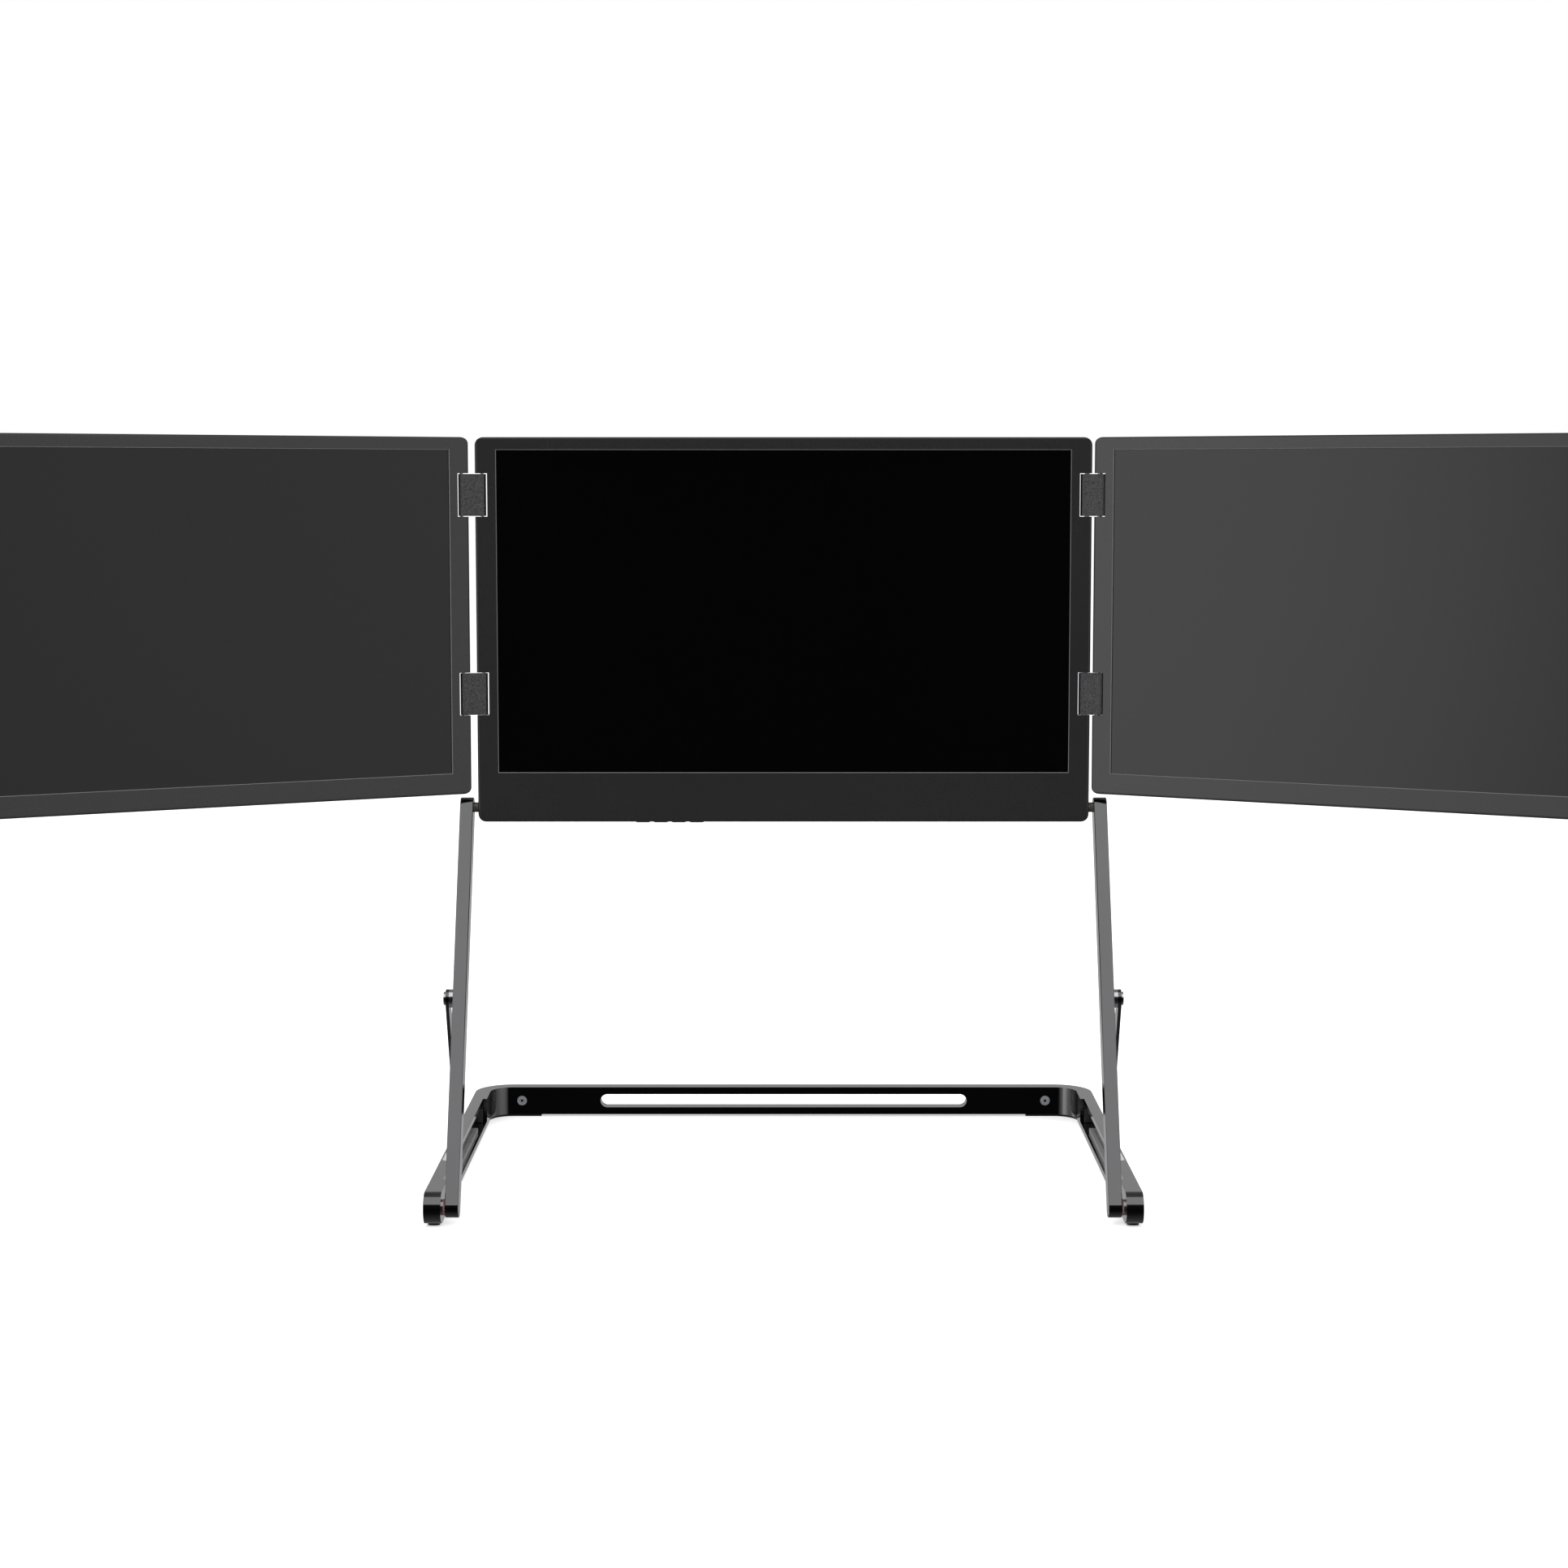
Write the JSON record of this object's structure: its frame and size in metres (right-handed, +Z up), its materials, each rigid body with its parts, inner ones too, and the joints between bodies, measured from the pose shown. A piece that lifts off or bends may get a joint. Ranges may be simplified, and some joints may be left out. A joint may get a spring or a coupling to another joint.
{
  "type": "laptop screen extender",
  "caption": "Laptop screen extender: a centre display on a folding arm-and-strut stand with a U-shaped base, and side displays that fold over it on link hinges.",
  "frame": {"origin": "on the table, under the middle of the object's bounding box", "axes": "+Z up, the displays face -Y, +X is the viewer's right"},
  "size_m": [1.013, 0.3838, 0.456],
  "materials": {
    "dark_metal": "glossy dark anodised",
    "foot_rubber": "matte",
    "bumper_rubber": "matte light grey",
    "steel": "satin",
    "rack_steel": "satin grey",
    "fibre": "dull red-brown",
    "roller_nylon": "smooth",
    "bush_bronze": "satin",
    "housing": "satin black",
    "button_plastic": "satin black",
    "display": "dark, smooth",
    "board": "green solder mask",
    "chip": "matte black",
    "hinge_metal": "fine-grained dark coating"
  },
  "bodies": {
    "base": {"base_frame": "dark_metal", "front_foot_pads": "foot_rubber", "rear_foot_pads": "foot_rubber", "crossbar_screws": "steel", "rail_bumpers": "bumper_rubber", "left_rack": "rack_steel", "right_rack": "rack_steel", "groove_end_stops": "bumper_rubber", "lower_pivot_pins": "steel", "pivot_spacers": "steel", "fibre_washers": "fibre"},
    "right_arm_body": {"right_arm": "dark_metal", "right_tilt_pin": "steel", "right_strut_rivet": "steel", "right_strut_spacer": "steel"},
    "left_arm_body": {"left_arm": "dark_metal", "left_tilt_pin": "steel", "left_strut_rivet": "steel", "left_strut_spacer": "steel"},
    "right_strut_body": {"right_strut": "dark_metal", "right_roller_pin": "steel"},
    "left_strut_body": {"left_strut": "dark_metal", "left_roller_pin": "steel"},
    "right_roller_body": {"right_roller": "roller_nylon"},
    "left_roller_body": {"left_roller": "roller_nylon"},
    "centre_screen": {"centre_front_frame": "housing", "centre_back_cover": "housing", "centre_display": "display", "controller_board": "board", "board_chips": "chip", "button_switches": "steel", "sockets": "steel", "tilt_bushes": "bush_bronze", "centre_cover_screws": "steel", "centre_left_hinge_pins": "steel", "centre_right_hinge_pins": "steel"},
    "left_links": {"left_hinge_blocks": "hinge_metal"},
    "right_links": {"right_hinge_blocks": "hinge_metal"},
    "left_screen": {"left_front_frame": "housing", "left_back_cover": "housing", "left_display": "display", "left_board": "board", "left_screen_hinge_pins": "steel", "left_cover_screws": "steel"},
    "right_screen": {"right_front_frame": "housing", "right_back_cover": "housing", "right_display": "display", "right_board": "board", "right_screen_hinge_pins": "steel", "right_cover_screws": "steel"},
    "power_key": {"power_button": "button_plastic"},
    "menu_key": {"menu_button": "button_plastic"},
    "brighter_key": {"brighter_button": "button_plastic"},
    "dimmer_key": {"dimmer_button": "button_plastic"}
  },
  "joints": [
    {"name": "stand_fold", "type": "hinge", "parent": "base", "child": "right_arm_body", "pos_m": [0.1919, -0.11435, 0.0108], "axis": [-1, 0, 0], "range_deg": [-15, 60]},
    {"name": "left_arm_fold", "type": "hinge", "parent": "base", "child": "left_arm_body", "pos_m": [-0.1919, -0.11435, 0.0108], "axis": [-1, 0, 0], "range_deg": [-15, 60]},
    {"name": "right_strut_fold", "type": "hinge", "parent": "right_arm_body", "child": "right_strut_body", "pos_m": [0.1993, -0.06152, 0.12409], "axis": [-1, 0, 0], "range_deg": [-120, 30]},
    {"name": "left_strut_fold", "type": "hinge", "parent": "left_arm_body", "child": "left_strut_body", "pos_m": [-0.1993, -0.06152, 0.12409], "axis": [-1, 0, 0], "range_deg": [-120, 30]},
    {"name": "right_roller_spin", "type": "hinge", "parent": "right_strut_body", "child": "right_roller_body", "pos_m": [0.2017, -0.00869, 0.0108], "axis": [1, 0, 0], "continuous": true},
    {"name": "left_roller_spin", "type": "hinge", "parent": "left_strut_body", "child": "left_roller_body", "pos_m": [-0.2017, -0.00869, 0.0108], "axis": [1, 0, 0], "continuous": true},
    {"name": "screen_tilt", "type": "hinge", "parent": "right_arm_body", "child": "centre_screen", "pos_m": [0, -0.01081, 0.23284], "axis": [1, 0, 0], "range_deg": [-10, 75]},
    {"name": "left_link_swing", "type": "hinge", "parent": "centre_screen", "child": "left_links", "pos_m": [-0.1808, -0.01401, 0.23284], "axis": [0, 0, 1], "range_deg": [-22, 75.5]},
    {"name": "left_screen_swing", "type": "hinge", "parent": "left_links", "child": "left_screen", "pos_m": [-0.19281, -0.01711, 0.23284], "axis": [0, 0, 1], "range_deg": [-22, 75.5]},
    {"name": "right_link_swing", "type": "hinge", "parent": "centre_screen", "child": "right_links", "pos_m": [0.1823, -0.01241, 0.23284], "axis": [0, 0, -1], "range_deg": [-22, 75.5]},
    {"name": "right_screen_swing", "type": "hinge", "parent": "right_links", "child": "right_screen", "pos_m": [0.18985, -0.01436, 0.23284], "axis": [0, 0, -1], "range_deg": [-22, 75.5]},
    {"name": "power_press", "type": "slide", "parent": "centre_screen", "child": "power_key", "axis": [0, 0, 1], "range_m": [0, 0.0005], "stiffness_N_per_m": 1200, "springref_m": -0.0004},
    {"name": "menu_press", "type": "slide", "parent": "centre_screen", "child": "menu_key", "axis": [0, 0, 1], "range_m": [0, 0.0005], "stiffness_N_per_m": 1200, "springref_m": -0.0004},
    {"name": "brighter_press", "type": "slide", "parent": "centre_screen", "child": "brighter_key", "axis": [0, 0, 1], "range_m": [0, 0.0005], "stiffness_N_per_m": 1200, "springref_m": -0.0004},
    {"name": "dimmer_press", "type": "slide", "parent": "centre_screen", "child": "dimmer_key", "axis": [0, 0, 1], "range_m": [0, 0.0005], "stiffness_N_per_m": 1200, "springref_m": -0.0004}
  ],
  "couplings": [
    {"joint": "left_arm_fold", "follows": "stand_fold", "ratio": 1},
    {"joint": "right_strut_fold", "follows": "stand_fold", "ratio": -2},
    {"joint": "left_strut_fold", "follows": "stand_fold", "ratio": -2},
    {"joint": "left_screen_swing", "follows": "left_link_swing", "ratio": 1},
    {"joint": "right_screen_swing", "follows": "right_link_swing", "ratio": 1}
  ]
}
